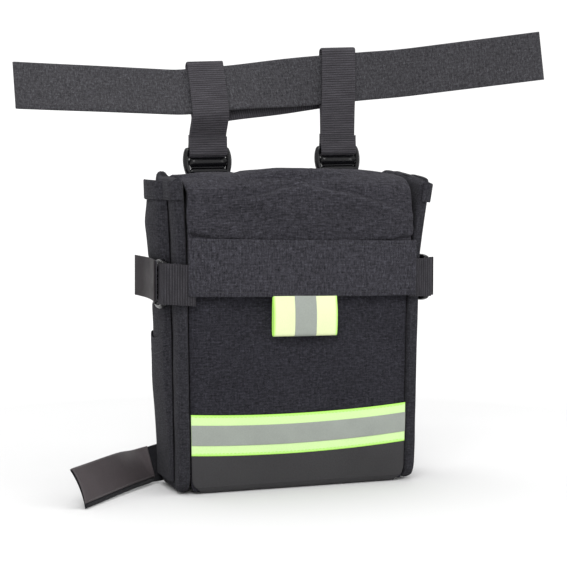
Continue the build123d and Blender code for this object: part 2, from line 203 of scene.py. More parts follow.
def stops(low, high, count, rim):
    """Positions from low to high, with close ones at both ends for a round edge."""
    ends = rim * np.array([0.0, 0.1, 0.4])
    return np.concatenate([low + ends, np.linspace(low + rim, high - rim, count), high - ends[::-1]])


def shell(name, grid, thick, look):
    """Closed sheet round a grid of middle points, with round edges."""
    rows, cols = grid.shape[:2]
    u, v = running(grid, 1), running(grid, 0)
    full = np.broadcast_to(thick, (rows, cols)).astype(float)
    rim = float(full.mean()) / 2
    factor = rounded(np.minimum(u, u[-1] - u), rim)[None, :] * rounded(np.minimum(v, v[-1] - v), rim)[:, None]
    offset = normals(grid) * (full * factor / 2)[:, :, None]
    verts = np.concatenate([(grid + offset).reshape(-1, 3), (grid - offset).reshape(-1, 3)])
    count = rows * cols
    faces = quads(rows, cols) + quads(rows, cols, count, flip=True)
    ring = [(0, c) for c in range(cols)] + [(r, cols - 1) for r in range(1, rows)]
    ring += [(rows - 1, c) for c in range(cols - 2, -1, -1)] + [(r, 0) for r in range(rows - 2, 0, -1)]
    edge = [r * cols + c for r, c in ring]
    for a, b in zip(edge, edge[1:] + edge[:1]):
        faces.append((b, a, a + count, b + count))
    uv = np.stack(np.meshgrid(u, v), axis=2).reshape(-1, 2)
    return piece(name, verts, faces, LOOKS[look], np.concatenate([uv, uv]))


def smooth_line(points, step):
    """Evenly spaced points on a rounded line that follows given points."""
    line = np.array(points, float)
    for _ in range(4):
        early = 0.75 * line[:-1] + 0.25 * line[1:]
        late = 0.25 * line[:-1] + 0.75 * line[1:]
        cut = np.stack([early, late], axis=1).reshape(-1, line.shape[1])
        line = np.concatenate([line[:1], cut, line[-1:]])
    run = travelled(line)
    marks = np.linspace(0, run[-1], max(3, int(math.ceil(run[-1] / step)) + 1))
    return np.stack([np.interp(marks, run, line[:, k]) for k in range(line.shape[1])], axis=1)


def ribbon(name, path, across, width, thick, look, rib=0.0, depth=0.0, columns=9, hollow=0.0):
    """Flat strap along a path, across which it is width wide.

    Ribs depth deep run across it where rib is their pitch, and its end is cut hollow millimetres hollow."""
    path = np.asarray(path, float)
    across = np.broadcast_to(np.asarray(across, float), path.shape)
    places = stops(-width / 2, width / 2, columns, thick / 2)
    grid = path[:, None, :] + across[:, None, :] * places[None, :, None]
    if hollow:
        run = running(grid, 0)
        cut = hollow * (1 - (2 * places / width) ** 2)[None, :] * ease(run, run[-1] - 30, run[-1])[:, None]
        ahead = np.gradient(path, axis=0)
        ahead = ahead / np.linalg.norm(ahead, axis=1, keepdims=True)
        grid = grid - ahead[:, None, :] * cut[:, :, None]
    full = np.full(grid.shape[:2], thick)
    if rib:
        run = running(grid, 0)
        edge = rounded(width / 2 - abs(places), 1.5)
        full = full + depth * np.cos(2 * math.pi * run / rib)[:, None] * edge[None, :]
    return shell(name, grid, full, look)


def webbing(name, path, across, width=WEB_WIDTH, thick=WEB_THICK, look="webbing"):
    """Ribbed webbing; the path's points are set on its ribs."""
    return ribbon(name, smooth_line(path, RIB / 5), across, width, thick, look, RIB, RIB_DEPTH)


def join(name, parts):
    """One object from several."""
    with bpy.context.temp_override(
        active_object=parts[0], selected_editable_objects=parts, object=parts[0], selected_objects=parts
    ):
        bpy.ops.object.join()
    parts[0].name = name
    return parts[0]


def bead():
    """Small closed ellipsoid of unit half lengths, as points and faces."""
    around, rings = 6, 3
    points = [(-1.0, 0.0, 0.0)]
    for ring in range(1, rings + 1):
        lat = math.pi * ring / (rings + 1)
        for k in range(around):
            turn = 2 * math.pi * k / around
            points.append((-math.cos(lat), math.sin(lat) * math.cos(turn), math.sin(lat) * math.sin(turn)))
    points.append((1.0, 0.0, 0.0))
    faces = [(0, 1 + (k + 1) % around, 1 + k) for k in range(around)]
    for ring in range(rings - 1):
        a = 1 + ring * around
        for k in range(around):
            n = (k + 1) % around
            faces.append((a + k, a + n, a + around + n, a + around + k))
    last, tip = 1 + (rings - 1) * around, len(points) - 1
    faces += [(last + k, last + (k + 1) % around, tip) for k in range(around)]
    return np.array(points), faces


def attach(obj, body, slot, *nodes):
    """Body that a piece rides on, a material slot that is not used, and the CAD nodes that it replaces."""
    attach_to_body(obj, body)
    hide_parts(*nodes)


def attach_bent(obj, near, far, bend, slot, *nodes):
    """Bakes a piece's place into its mesh and hides the CAD nodes that it replaces; near, far, bend and slot
    are not used.
    """
    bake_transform(obj)
    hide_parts(*nodes)


def stitching(name, lines, body, pitch=3.3, length=2.5, width=0.62, look="thread"):
    """Thread along lines of (points, outward direction), as one piece on a body."""
    unit, unit_faces = bead()
    verts, faces = [], []
    for points, outward in lines:
        line = smooth_line(points, pitch)
        out = np.asarray(outward, float) / np.linalg.norm(outward)
        for a, b in zip(line[:-1], line[1:]):
            along = (b - a) / max(np.linalg.norm(b - a), 1e-9)
            side = np.cross(out, along)
            middle = (a + b) / 2 + out * 0.05
            shape = np.outer(unit[:, 0] * length / 2, along)
            shape = shape + np.outer(unit[:, 1] * width / 2, side) + np.outer(unit[:, 2] * width / 3, out)
            first = len(verts) * len(unit)
            verts.append(shape + middle)
            faces += [tuple(first + i for i in face) for face in unit_faces]
    obj = piece(name, np.concatenate(verts), faces, LOOKS[look], np.zeros((len(verts) * len(unit), 2)))
    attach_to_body(obj, body)


def settle(grid, held, grow, limit, frames=18):
    """Cloth simulation of a sheet that is a little too large for the place it is held in.

    held is 1 where it is sewn down. The creases it makes are kept, up to limit millimetres."""
    scale = 0.01  # the solver gets the sheet ten times as large as it is
    rows, cols = grid.shape[:2]
    mesh = bpy.data.meshes.new("settling")
    mesh.from_pydata((grid.reshape(-1, 3) * scale).tolist(), [], quads(rows, cols))
    obj = placed("settling", mesh)
    group = obj.vertex_groups.new(name="held")
    for index, weight in enumerate(np.broadcast_to(held, (rows, cols)).ravel()):
        if weight > 0:
            group.add([index], float(weight), "REPLACE")
    cloth = obj.modifiers.new("settle", "CLOTH")
    rule = cloth.settings
    rule.quality = 6
    rule.mass = 0.4
    rule.tension_stiffness = rule.compression_stiffness = 12
    rule.shear_stiffness = 6
    rule.bending_stiffness = 1.2
    rule.vertex_group_mass = "held"
    rule.shrink_min = -grow
    rule.effector_weights.gravity = 0
    cloth.collision_settings.use_collision = False
    cloth.point_cache.frame_start, cloth.point_cache.frame_end = 1, frames
    for step in range(1, frames + 1):
        bpy.context.scene.frame_set(step)
    settled = obj.evaluated_get(bpy.context.evaluated_depsgraph_get())
    found = np.array([v.co for v in settled.data.vertices]).reshape(rows, cols, 3) / scale
    bpy.data.objects.remove(obj)
    bpy.data.meshes.remove(mesh)
    bpy.context.scene.frame_set(1)
    moved = found - grid
    size = np.linalg.norm(moved, axis=2, keepdims=True)
    return grid + moved * np.minimum(1, limit / np.maximum(size, 1e-6))


# ---------------- materials


def add(tree, kind, inputs=None, **settings):
    """Shader node with its settings, and inputs that are numbers, colours or other nodes' outputs."""
    node = tree.nodes.new(kind)
    for key, value in settings.items():
        setattr(node, key, value)
    for key, value in (inputs or {}).items():
        if isinstance(value, bpy.types.NodeSocket):
            tree.links.new(value, node.inputs[key])
        else:
            node.inputs[key].default_value = value
    return node


def calc(tree, operation, a, b=0.0):
    return add(tree, "ShaderNodeMath", {0: a, 1: b}, operation=operation).outputs[0]


def blank(name, **values):
    """Material with a Principled shader whose uniform values are set on its own sockets."""
    material = bpy.data.materials.new(name)
    material.use_nodes = True
    shader = material.node_tree.nodes["Principled BSDF"]
    for key, value in values.items():
        shader.inputs[key.replace("_", " ")].default_value = value
    return material, material.node_tree, shader


def cloth_place(tree):
    """The piece's own cloth coordinates: across in X and along in Y."""
    return add(tree, "ShaderNodeUVMap", uv_map=UV).outputs[0]


def object_place(tree):
    return add(tree, "ShaderNodeTexCoord").outputs["Object"]


def apart(tree, place):
    return add(tree, "ShaderNodeSeparateXYZ", {0: place}).outputs


def arches(tree, value, factor):
    """A row of round arches along a coordinate, as threads side by side make."""
    return calc(tree, "ABSOLUTE", calc(tree, "SINE", calc(tree, "MULTIPLY", value, factor)))


def grain(tree, place, scale, detail=2.0, rough=0.5):
    inputs = {"Vector": place, "Scale": scale, "Detail": detail, "Roughness": rough}
    return add(tree, "ShaderNodeTexNoise", inputs).outputs["Fac"]


def mapped(tree, value, low, high, to_low, to_high):
    """Value from low to high turned into to_low to to_high, and held there beyond."""
    limits = {"From Min": low, "From Max": high, "To Min": to_low, "To Max": to_high}
    return add(tree, "ShaderNodeMapRange", {"Value": value, **limits}).outputs[0]


def scaled(tree, colour, amount):
    return add(tree, "ShaderNodeVectorMath", {0: colour, 3: amount}, operation="SCALE").outputs[0]


def stretched(tree, place, stretch):
    return add(tree, "ShaderNodeVectorMath", {0: place, 1: stretch}, operation="MULTIPLY").outputs[0]


def tinted(tree, colour, variation, low, high):
    """Colour multiplied by low to high as variation goes from 0.25 to 0.75."""
    return scaled(tree, colour, mapped(tree, variation, 0.25, 0.75, low, high))


def finish_look(tree, shader, colour, rough, height, depth, strength):
    tree.links.new(colour, shader.inputs["Base Color"])
    if rough is not None:
        tree.links.new(rough, shader.inputs["Roughness"])
    bump = add(tree, "ShaderNodeBump", {"Height": height, "Distance": depth, "Strength": strength})
    tree.links.new(bump.outputs[0], shader.inputs["Normal"])


def woven(name, colour, pitch=1.0, streak=(1.0, 4.0), speckle=0.5, sheen=0.25):
    """Plain weave: yarns over and under, each a little different, on the piece's own cloth coordinates, with
    painted shade in the hollows between yarns.
    """
    material, tree, shader = blank(
        name, Roughness=0.9, Specular_IOR_Level=0.08, Sheen_Weight=sheen, Sheen_Roughness=0.5
    )
    place = cloth_place(tree)
    x, y = (calc(tree, "DIVIDE", value, pitch * MM) for value in apart(tree, place)[:2])
    wave_x, wave_y = arches(tree, x, math.pi), arches(tree, y, math.pi)
    cell = calc(tree, "ADD", calc(tree, "FLOOR", x), calc(tree, "FLOOR", y))
    over = calc(tree, "PINGPONG", cell, 1.0)
    warp = calc(tree, "MULTIPLY", wave_x, calc(tree, "POWER", wave_y, 0.35))
    weft = calc(tree, "MULTIPLY", wave_y, calc(tree, "POWER", wave_x, 0.35))
    height = add(tree, "ShaderNodeMix", {0: over, 2: warp, 3: weft}).outputs[0]
    per_yarn = 1.0 / (pitch * MM)
    yarn_a = grain(tree, stretched(tree, place, (per_yarn * 0.8, per_yarn * 0.12, 1)), 1.0, 1.0)
    yarn_b = grain(tree, stretched(tree, place, (per_yarn * 0.12, per_yarn * 0.8, 1)), 1.0, 1.0)
    yarn = add(tree, "ShaderNodeMix", {0: over, 2: yarn_a, 3: yarn_b}).outputs[0]
    fine = [share / (streak[0] * streak[1]) for share in streak]
    streaks = grain(tree, stretched(tree, place, (*fine, 1)), 900.0, 2.0)
    fleck = grain(tree, place, 480.0, 3.0, 0.75)
    cloud = grain(tree, place, 22.0, 2.0)
    shade = colour
    for variation, darker, lighter in ((yarn, 0.5, 0.5), (streaks, 0.45, 0.45), (fleck, 0.6, 0.8)):
        shade = tinted(tree, shade, variation, 1 - darker * speckle, 1 + lighter * speckle)
    shade = tinted(tree, shade, cloud, 0.93, 1.07)
    # Painted shade: the colour is darkened in the hollows between yarns and lightened on the yarn tops,
    # following the weave's height.
    shade = scaled(tree, shade, calc(tree, "ADD", calc(tree, "MULTIPLY", height, 0.5), 0.68))
    relief = calc(tree, "ADD", height, calc(tree, "MULTIPLY", fleck, 0.8))
    finish_look(tree, shader, shade, None, relief, 0.00035, 0.75)
    return material


def ribbed(name, colour):
    """Webbing yarn: the ribs are in the mesh, and the warp threads, their wear and painted shade between the
    ribs are here.
    """
    material, tree, shader = blank(
        name, Roughness=0.75, Specular_IOR_Level=0.15, Sheen_Weight=0.04, Sheen_Roughness=0.4
    )
    place = cloth_place(tree)
    across, along = apart(tree, place)[:2]
    threads = arches(tree, across, math.pi / (0.55 * MM))
    crest = calc(tree, "COSINE", calc(tree, "MULTIPLY", along, 2 * math.pi / (RIB * MM)))
    rows = grain(tree, stretched(tree, place, (60, 600, 1)), 1.0, 2.0)
    fleck = grain(tree, place, 900.0, 3.0, 0.7)
    shade = tinted(tree, colour, rows, 0.72, 1.3)
    shade = tinted(tree, shade, fleck, 0.62, 1.45)
    # Painted light: the rib crests are painted lighter and the grooves between the ribs darker.
    shade = scaled(tree, shade, calc(tree, "ADD", calc(tree, "MULTIPLY", crest, 0.34), 1.0))
    finish_look(tree, shader, shade, None, calc(tree, "ADD", threads, fleck), 0.0002, 0.7)
    return material


def moulded(name, colour, rough):
    """Moulded plastic: a faint orange peel and a few fine scuffs."""
    material, tree, shader = blank(name, Specular_IOR_Level=0.32)
    place = object_place(tree)
    peel = grain(tree, place, 700.0, 2.0)
    scuff = grain(tree, stretched(tree, place, (1, 1, 6)), 160.0, 4.0, 0.7)
    shade = tinted(tree, colour, scuff, 0.8, 1.25)
    gloss = mapped(tree, scuff, 0.3, 0.75, rough, rough + 0.22)
    finish_look(tree, shader, shade, gloss, peel, 0.0001, 0.35)
    return material


def coated(name, colour, rough):
    """Smooth coated fabric: fine pores, soft creases and a satin shine."""
    material, tree, shader = blank(name, Specular_IOR_Level=0.22)
    place = object_place(tree)
    cells = add(tree, "ShaderNodeTexVoronoi", {"Vector": place, "Scale": 1300.0}, feature="SMOOTH_F1")
    pores = cells.outputs["Distance"]
    creases = grain(tree, place, 60.0, 4.0, 0.6)
    cloud = grain(tree, place, 18.0, 2.0)
    shade = tinted(tree, colour, cloud, 0.86, 1.14)
    shade = tinted(tree, shade, grain(tree, place, 800.0, 2.0), 0.9, 1.1)
    gloss = mapped(tree, creases, 0.3, 0.7, rough - 0.08, rough + 0.1)
    relief = calc(tree, "ADD", calc(tree, "MULTIPLY", pores, 0.5), calc(tree, "MULTIPLY", creases, 2.0))
    finish_look(tree, shader, shade, gloss, relief, 0.0003, 0.45)
    return material


# Painted shade: the greener colour laid along the tape's cut edges, where the edges turn away from the light.
EDGE_SHADE_GREEN = (0.36, 0.80, 0.05, 1.0)


def fluorescent(name, colour, axis, width):
    """High-visibility tape: fine knit, painted greener along the tape's two cut edges as painted shade, and
    given a faint emission that is a painted glow.

    axis is the cloth coordinate that runs across the tape, which is width millimetres wide."""
    # Painted glow: a faint emission in the tape's own colour makes it shine by itself.
    material, tree, shader = blank(name, Roughness=0.6, Emission_Strength=0.06, Emission_Color=(*colour, 1.0))
    place = cloth_place(tree)
    across = apart(tree, place)[axis]
    inward = calc(tree, "MINIMUM", across, calc(tree, "SUBTRACT", width * MM, across))
    # Mask of the painted edge shade, 2.2 mm in from each cut edge.
    edge = mapped(tree, inward, 0.0, 2.2 * MM, 1.0, 0.0)
    knit = grain(tree, stretched(tree, place, (1500, 700, 1)), 1.0, 2.0)
    cloud = grain(tree, place, 35.0, 2.0)
    blended = add(tree, "ShaderNodeMix", {0: edge, 6: (*colour, 1.0), 7: EDGE_SHADE_GREEN}, data_type="RGBA")
    shade = tinted(tree, blended.outputs[2], knit, 0.93, 1.05)
    shade = tinted(tree, shade, cloud, 0.95, 1.03)
    finish_look(tree, shader, shade, None, knit, 0.0002, 0.4)
    return material


def reflective(name, colour):
    """Glass-bead tape: grey with a fine bead texture and a broad sheen."""
    material, tree, shader = blank(name, Metallic=0.25, Specular_IOR_Level=0.6)
    place = cloth_place(tree)
    beads = add(tree, "ShaderNodeTexVoronoi", {"Vector": place, "Scale": 2600.0}).outputs["Distance"]
    cloud = grain(tree, place, 45.0, 3.0)
    shade = tinted(tree, colour, cloud, 0.92, 1.08)
    shade = tinted(tree, shade, beads, 0.92, 1.06)
    gloss = mapped(tree, cloud, 0.3, 0.7, 0.42, 0.55)
    finish_look(tree, shader, shade, gloss, beads, 0.00008, 0.5)
    return material


def brushed(name, colour, scale=1500.0):
    """Hook-and-loop or velour: a dense pile of tiny fibres."""
    material, tree, shader = blank(
        name, Roughness=0.95, Specular_IOR_Level=0.08, Sheen_Weight=0.12, Sheen_Roughness=0.35
    )
    place = object_place(tree)
    pile = grain(tree, place, scale, 4.0, 0.8)
    tufts = grain(tree, place, scale / 4, 2.0)
    shade = tinted(tree, colour, pile, 0.5, 1.6)
    shade = tinted(tree, shade, tufts, 0.85, 1.2)
    finish_look(tree, shader, shade, None, calc(tree, "ADD", pile, tufts), 0.0006, 0.9)
    return material


LOOKS = {
    "belt": woven("belt_elastic", (0.046, 0.045, 0.050), 0.9, (1.0, 2.0), 0.85, 0.04),
    "webbing": ribbed("ribbed_webbing", (0.043, 0.0405, 0.0465)),
    # A darker copy of the webbing look: painted shade for the side straps and for the strip that lies in the
    # belt's shadow.
    "shaded_webbing": ribbed("side_webbing_ribs", (0.029, 0.0275, 0.032)),
    "body": woven("pouch_weave", (0.023, 0.0225, 0.0285), 1.0, (1.0, 3.0), 0.9, 0.03),
    "lid": woven("lid_weave", (0.031, 0.030, 0.0365), 1.0, (1.0, 5.0), 0.95, 0.03),
    "band": woven("band_weave", (0.036, 0.035, 0.0425), 1.0, (5.0, 1.0), 0.95, 0.03),
    "side": woven("side_weave", (0.026, 0.0255, 0.0305), 1.0, (1.0, 1.5), 0.85, 0.03),
    "elastic": woven("loop_elastic", (0.04, 0.04, 0.044), 0.8, (1.0, 6.0), 0.8, 0.03),
    "coated": coated("coated_fabric", (0.034, 0.033, 0.035), 0.5),
    "grip": coated("grip_fabric", (0.062, 0.053, 0.056), 0.46),
    "tail": coated("tail_fabric", (0.0185, 0.0150, 0.0172), 0.55),
    "plastic": moulded("buckle_plastic", (0.004, 0.004, 0.005), 0.16),
    "board": moulded("board_plastic", (0.10, 0.10, 0.105), 0.5),
    "lime": fluorescent("lime_tape", (0.57, 0.79, 0.35), 1, 30.5),
    "lime_tab": fluorescent("lime_tab_tape", (0.70, 0.765, 0.44), 0, 52.0),
    "silver": reflective("silver_tape", (0.29, 0.315, 0.285)),
    "velour": brushed("strap_velour", (0.012, 0.012, 0.014)),
    "hook": brushed("touch_fastener", (0.02, 0.02, 0.022), 900.0),
    "thread": moulded("sewing_thread", (0.03, 0.03, 0.034), 0.55),
    "pale_thread": moulded("pale_sewing_thread", (0.13, 0.125, 0.125), 0.55),
}


# ---------------- belt


def belt_line(step=1.0):
    """Distances along the belt from its middle, with the points, backward and upward directions there."""
    left_end, right_end = -208.5, 230.0
    marks = np.arange(left_end, right_end + step / 2, step)
    slope = np.radians(0.6 + 7.2 * ease(marks, -92, -70) - 1.5 * ease(marks, 76, 96))
    heading = np.radians(-27.0 * ease(marks, 74, 132))
    lean = np.radians(BELT_LEAN * (1 - ease(marks, -40, 40)))
    run = surface(np.cos(heading) * np.cos(slope), np.sin(heading) * np.cos(slope), np.sin(slope))
    line = np.concatenate([[np.zeros(3)], np.cumsum(run[:-1] * step, axis=0)])
    line = line - line[np.argmin(abs(marks))]
    flat = surface(-np.sin(heading), np.cos(heading), 0.0)
    rise = np.cross(run, flat)
    tall = rise * np.cos(lean)[:, None] + flat * np.sin(lean)[:, None]
    return marks, line, np.cross(tall, run), tall


def belt_at(x):
    """Belt centre, backward and upward direction at an x."""
    _, line, back, tall = belt_line()
    index = int(np.argmin(abs(line[:, 0] - x)))
    return line[index], back[index], tall[index]


def make_belt():
    _, line, back, tall = belt_line(1.5)
    line = line + back * (0.35 * ripple(line, 55.0))[:, None]
    belt = ribbon("belt_webbing", line, tall, BELT_HEIGHT, BELT_THICK, "belt", columns=25)
    attach(belt, "belt", "belt_elastic", "belt_section")


def make_bridge():
    """Strip behind the belt between the two hanger straps, nearer the belt's lower edge."""
    marks, line, back, tall = belt_line()
    keep = abs(line[:, 0]) < HANGER_X - WEB_WIDTH / 2 + 6
    marks, line, back, tall = marks[keep], line[keep], back[keep], tall[keep]
    drop = 11.5 - 4.0 * ((marks - marks[0]) / np.ptp(marks))
    path = line + back * 5.2 - tall * drop[:, None]
    # The darker webbing look is painted shade: this strip lies in the belt's shadow.
    strip = ribbon("bridge_webbing", path, tall, WEB_WIDTH, 1.4, "shaded_webbing", RIB, 0.25)
    attach(strip, "hanger", "webbing", "bridge_strap")


# ---------------- hangers


def tilt_rise(x):
    return x * math.sin(TILT)


def hanger_bar(sign):
    """Middle of a loop buckle's webbing bar."""
    x = sign * HANGER_X
    z = up(PIVOT_HEIGHT + HANGER_PITCH) + tilt_rise(x)
    return np.array([x - math.sin(TILT) * HANGER_PITCH, 0.0, z])


def make_hanger(sign, side):
    """Webbing from the buckle's bar up the front of the belt, over it, down behind and in between.

    Each point of its route also holds the strap's slope there, in degrees: the buckle's or the belt's."""
    centre, back, tall = belt_at(sign * HANGER_X)
    bar = hanger_bar(sign)
    off = BELT_THICK / 2 + 1.1 + WEB_THICK / 2
    reach = BELT_HEIGHT / 2 + 3.4
    wrap = 3.05
    belt_slope = 5.0

    def by_bar(*places):
        return [(bar[0], bar[1] + y, bar[2] + z, PIVOT_TILT) for y, z in places]

    def by_belt(*places):
        found = [centre + back * y + tall * z for y, z in places]
        return [(bar[0], place[1], place[2], belt_slope) for place in found]

    route = by_bar(
        (1.5, 14.5), (1.6, 6.0), (wrap, 2.0), (wrap, -wrap), (0, -wrap - 0.6),
        (-wrap, -wrap), (-wrap, 2.0), (-1.8, 6.5), (-1.7, 12.0),
    )
    route += by_belt(
        (-off + 0.6, -reach - 1.5), (-off, -reach + 3.5), (-off, 0), (-off, reach - 3),
        (-off + 0.2, reach + 0.6), (0, reach + 1.6), (off - 0.2, reach + 0.6), (off, reach - 3),
        (off, 0), (off, -reach + 4), (off - 2.2, -reach - 0.6),
    )
    route += by_bar((-0.05, 15.0), (-0.05, 5.5))
    path = smooth_line(route, RIB / 5)
    slope = np.radians(path[:, 3])
    across = surface(np.cos(slope), 0.0, np.sin(slope))
    name = f"{side}_hanger_webbing"
    strap = ribbon(name, path[:, :3], across, WEB_WIDTH, WEB_THICK, "webbing", RIB, RIB_DEPTH)
    front = by_bar((-3.35, 12.6), (-3.4, 9.0), (-3.9, 4.0), (-4.6, 0.5), (-4.4, -2.6))
    end = webbing("sewn_end", np.array(front)[:, :3], across[0], WEB_WIDTH + 1.2, 1.4)
    attach(join(name, [strap, end]), "hanger", "webbing", f"{side}_hanger_strap")
    inset = WEB_WIDTH / 2 - 1.0
    lines = []
    for height in (11.4, 8.6):
        for y, out in ((-4.25, -1), (2.35, 1)):
            ends = [bar + np.array([s * inset, y, height + tilt_rise(s * inset)]) for s in (-1, 1)]
            lines.append((ends, (0, out, 0)))
    stitching(f"{side}_hanger_stitches", lines, "hanger", pitch=2.8, length=2.2)


# ---------------- buckles

# half width and height along a cheek's bow, from its top to its foot
CHEEK_BOW = (
    (14.6, 3.4), (16.4, 2.2), (17.7, -2.4), (18.0, -8.0), (16.9, -14.0), (14.6, -19.0), (12.6, -23.4),
)
# half length, height, distance outwards, depth and thickness of each bar, from the webbing bar down
BARS = (
    (16, 0, 0, 3.0, 3.0), (16, -7.6, -1.6, 2.0, 10.4), (15.5, -14.8, 0.7, 5.2, 6.6),
    (14, -21.5, 0, 3.4, 3.4),
)
RIDGE = (14.6, -11.9, 2.6, 1.5, 1.5)


def tri_glide(name, node, middle, along, upward, outward, body, slim=1.0):
    """Barrel-sided buckle: two bowed cheeks, a webbing bar, a lower bar and two bars between them.

    middle is the webbing bar's middle; along, upward and outward are its directions. slim draws the
    cheeks in."""
    middle, along, upward, outward = (np.array(v, float) for v in (middle, along, upward, outward))

    def spot(x, z, y=0.0):
        return middle + along * x + upward * z + outward * y

    def rod(kind, half, z, y, deep, thick, columns=9):
        ends = np.linspace(spot(-half, z, y), spot(half, z, y), 14)
        return ribbon(kind, ends, outward, deep, thick, "plastic", columns=columns)

    parts = []
    for turn in (-1, 1):
        cheek = smooth_line([spot(turn * x * slim, z) for x, z in CHEEK_BOW], 0.8)
        parts.append(ribbon("cheek", cheek, outward, 5.4, 4.6 * slim**4, "plastic"))
    parts += [rod("bar", *sizes) for sizes in BARS]
    parts.append(rod("ridge", *RIDGE, columns=5))
    attach(join(name, parts), body, "buckle_plastic", node)


def make_buckles(sign, side):
    name, node = f"{side}_hanger_buckle", f"{side}_loop_buckle"
    tri_glide(name, node, hanger_bar(sign), ALONG, UPWARD, (0, -1, 0), "hanger")
    name, node = f"{side}_strap_buckle", f"{side}_side_buckle"
    low, high = cad(node)
    middle = (sign * BUCKLE_X, BUCKLE_Y, (low[2] + high[2]) / 2 - STRAP_DROP[sign])
    tri_glide(name, node, middle, (0, 0, 1), (0, -1, 0), (sign, 0, 0), "lid", slim=0.94)


# ---------------- front and base


def front_y(x, height):
    """Y of the front panel's face: slightly full under the lid, dimpled by its contents."""
    across = np.clip(1 - (x / half_width(height)) ** 2, 0, 1)
    full = 1.5 * np.sqrt(across) * np.sin(math.pi * np.clip(height / 150, 0, 1))
    dents = 0.35 * ripple(surface(x, 0.0, height), 42.0, 3.0) * across * (1 - ease(height, 130, 160))
    return FRONT_Y - full - dents


def corner_inset(height, radius):
    """How far a panel's side edge is drawn in at its rounded lower corner."""
    below = np.clip(radius - height, 0, radius)
    return radius - np.sqrt(np.maximum(radius**2 - below**2, 0))


def droop(x):
    """Share of the stripe's sag at an x: all of it a little left of the middle, none at the right end."""
    return 1 - (x / HALF_BASE + 0.2) ** 2 / 1.44


def front_grid(low, high, rows, cols, off, edge=EDGE, corner=0.0, sag=0.0):
    """Points on the front between two heights, off in front of the panel's face."""
    heights = stops(low, high, rows, 1.0)[:, None]
    x = stops(-1, 1, cols, 0.012)[None, :] * (half_width(heights) - edge - corner_inset(heights, corner))
    z = heights - sag * droop(x)
    return surface(x, front_y(x, z) - off, up(z))


def make_front():
    grid = front_grid(2, 226, 76, 60, -1.5, corner=7.0)
    held = np.ones(grid.shape[:2])
    held[5:-28, 5:-5] = 0.0
    panel = shell("front_cloth", settle(grid, held, grow=0.02, limit=1.1), 3.0, "body")
    attach(panel, "pouch", "pouch_fabric", "front_panel")


def make_stripe():
    for name, node, slot, look, low, high, rows, off, thick in (
        ("stripe_yellow_tape", "stripe_lime", "lime_tape", "lime", 31.5, 62, 14, 1.3, 0.6),
        ("stripe_grey_tape", "stripe_silver", "silver_tape", "silver", 39.2, 54.3, 10, 1.85, 0.4),
    ):
        tape = shell(name, front_grid(low, high, rows, 70, off, sag=STRIPE_SAG), thick, look)
        attach(tape, "pouch", slot, node)
    lines = []
    for height in (33.3, 60.4):
        points = front_grid(height - 1, height + 1, 3, 40, 1.62, edge=2.5, sag=STRIPE_SAG)
        lines.append((points[len(points) // 2], (0, -1, 0)))
    stitching("stripe_stitches", lines, "pouch", pitch=3.0, length=2.2, width=0.4, look="lime")


def make_base():
    """Coated patch over the lower front that turns under the base, and the base itself."""
    turn, corner, off = 5.0, 13.0, 0.75
    spread = stops(-1, 1, 60, 0.012)
    rows = []
    for height in stops(turn, 36.0, 16, 0.6)[::-1]:
        x = spread * (half_width(height) - EDGE - corner_inset(height, corner))
        z = height - 3.4 * ease(height, 12, 34) * droop(x)
        rows.append(surface(x, front_y(x, z) - off, up(z)))
    for swing in np.radians(np.linspace(8, 90, 9)):
        height = turn * (1 - math.sin(swing))
        x = spread * (half_width(height) - EDGE - corner_inset(max(height, 1.5), corner))
        y = front_y(x, turn) - off + turn * (1 - math.cos(swing))
        rows.append(surface(x, y, up(height) + 0.6))
    for depth in np.linspace(3, 44, 12):
        row = rows[-1].copy()
        row[:, 1] = FRONT_Y + turn + depth
        rows.append(row)
    patch = shell("base_coated_patch", np.array(rows), 1.2, "coated")
    attach(patch, "pouch", "coated_fabric", "front_base_patch", "base_panel")


# ---------------- sides and pockets


def side_x(sign, height, y, off):
    """X of a surface off outside the side panel; the sides open outwards towards the top front."""
    opening = FLARE[sign] * np.clip((height - FLARE_FROM) / (SIDE_TOP - FLARE_FROM), 0, 1) ** 1.2
    opening = opening * ease(-np.asarray(y, float), 4.0, 34.0)
    return sign * (half_width(height) + SIDE_THICK + off + opening)


def side_z(sign, height, y):
    """Row height of a place on a side, whose top edge isn't level."""
    rise = np.interp(y, (FRONT_Y, BACK_Y - 16), TOP_RISE[sign][::-1])
    return up(height + rise * ease(height, 186, SIDE_TOP))


def side_ring(sign, height, turn):
    """Points round a side panel at a height: turn is the angle round its section, 0 at the back."""
    front, corner, power = FRONT_Y - 2.8, 16.0, 0.32
    seam_y = FRONT_Y + 11.5
    draw = float(corner_inset(height, corner))
    low, high = front + draw, BACK_Y - draw
    cap = max(0.0, (height - HEIGHT) / (SIDE_TOP - HEIGHT))
    thin = math.sqrt(max(0.0, 1 - cap**2)) * 0.9 + 0.1
    half = SIDE_THICK / 2 * thin * float(rounded(height - 1.0, 3.0))
    cos, sin = np.cos(turn), np.sin(turn)
    y = (low + high) / 2 + (high - low) / 2 * np.sign(cos) * abs(cos) ** power
    push = half * np.sign(sin) * abs(sin) ** power
    roll = 0.9 * bell(y, (front + seam_y) / 2, 5.5) - 2.2 * bell(y, seam_y, 1.5)
    pucker = 0.22 * math.sin(height * 2 * math.pi / 3.1) * bell(y, seam_y, 6.0)
    soft = 0.7 * ripple(surface(sign * 50.0, y, height), 26.0, 7.0 + sign)
    x = side_x(sign, height, y, -SIDE_THICK / 2) + sign * push
    x = x + sign * np.clip(push / half, 0, 1) * (roll + pucker + soft) * thin
    tuft = TUFT[sign] * bell(y - BACK_Y, -5.0, 5.0) * ease(height, 225, SIDE_TOP)
    return surface(x, y, side_z(sign, height, y) + tuft)


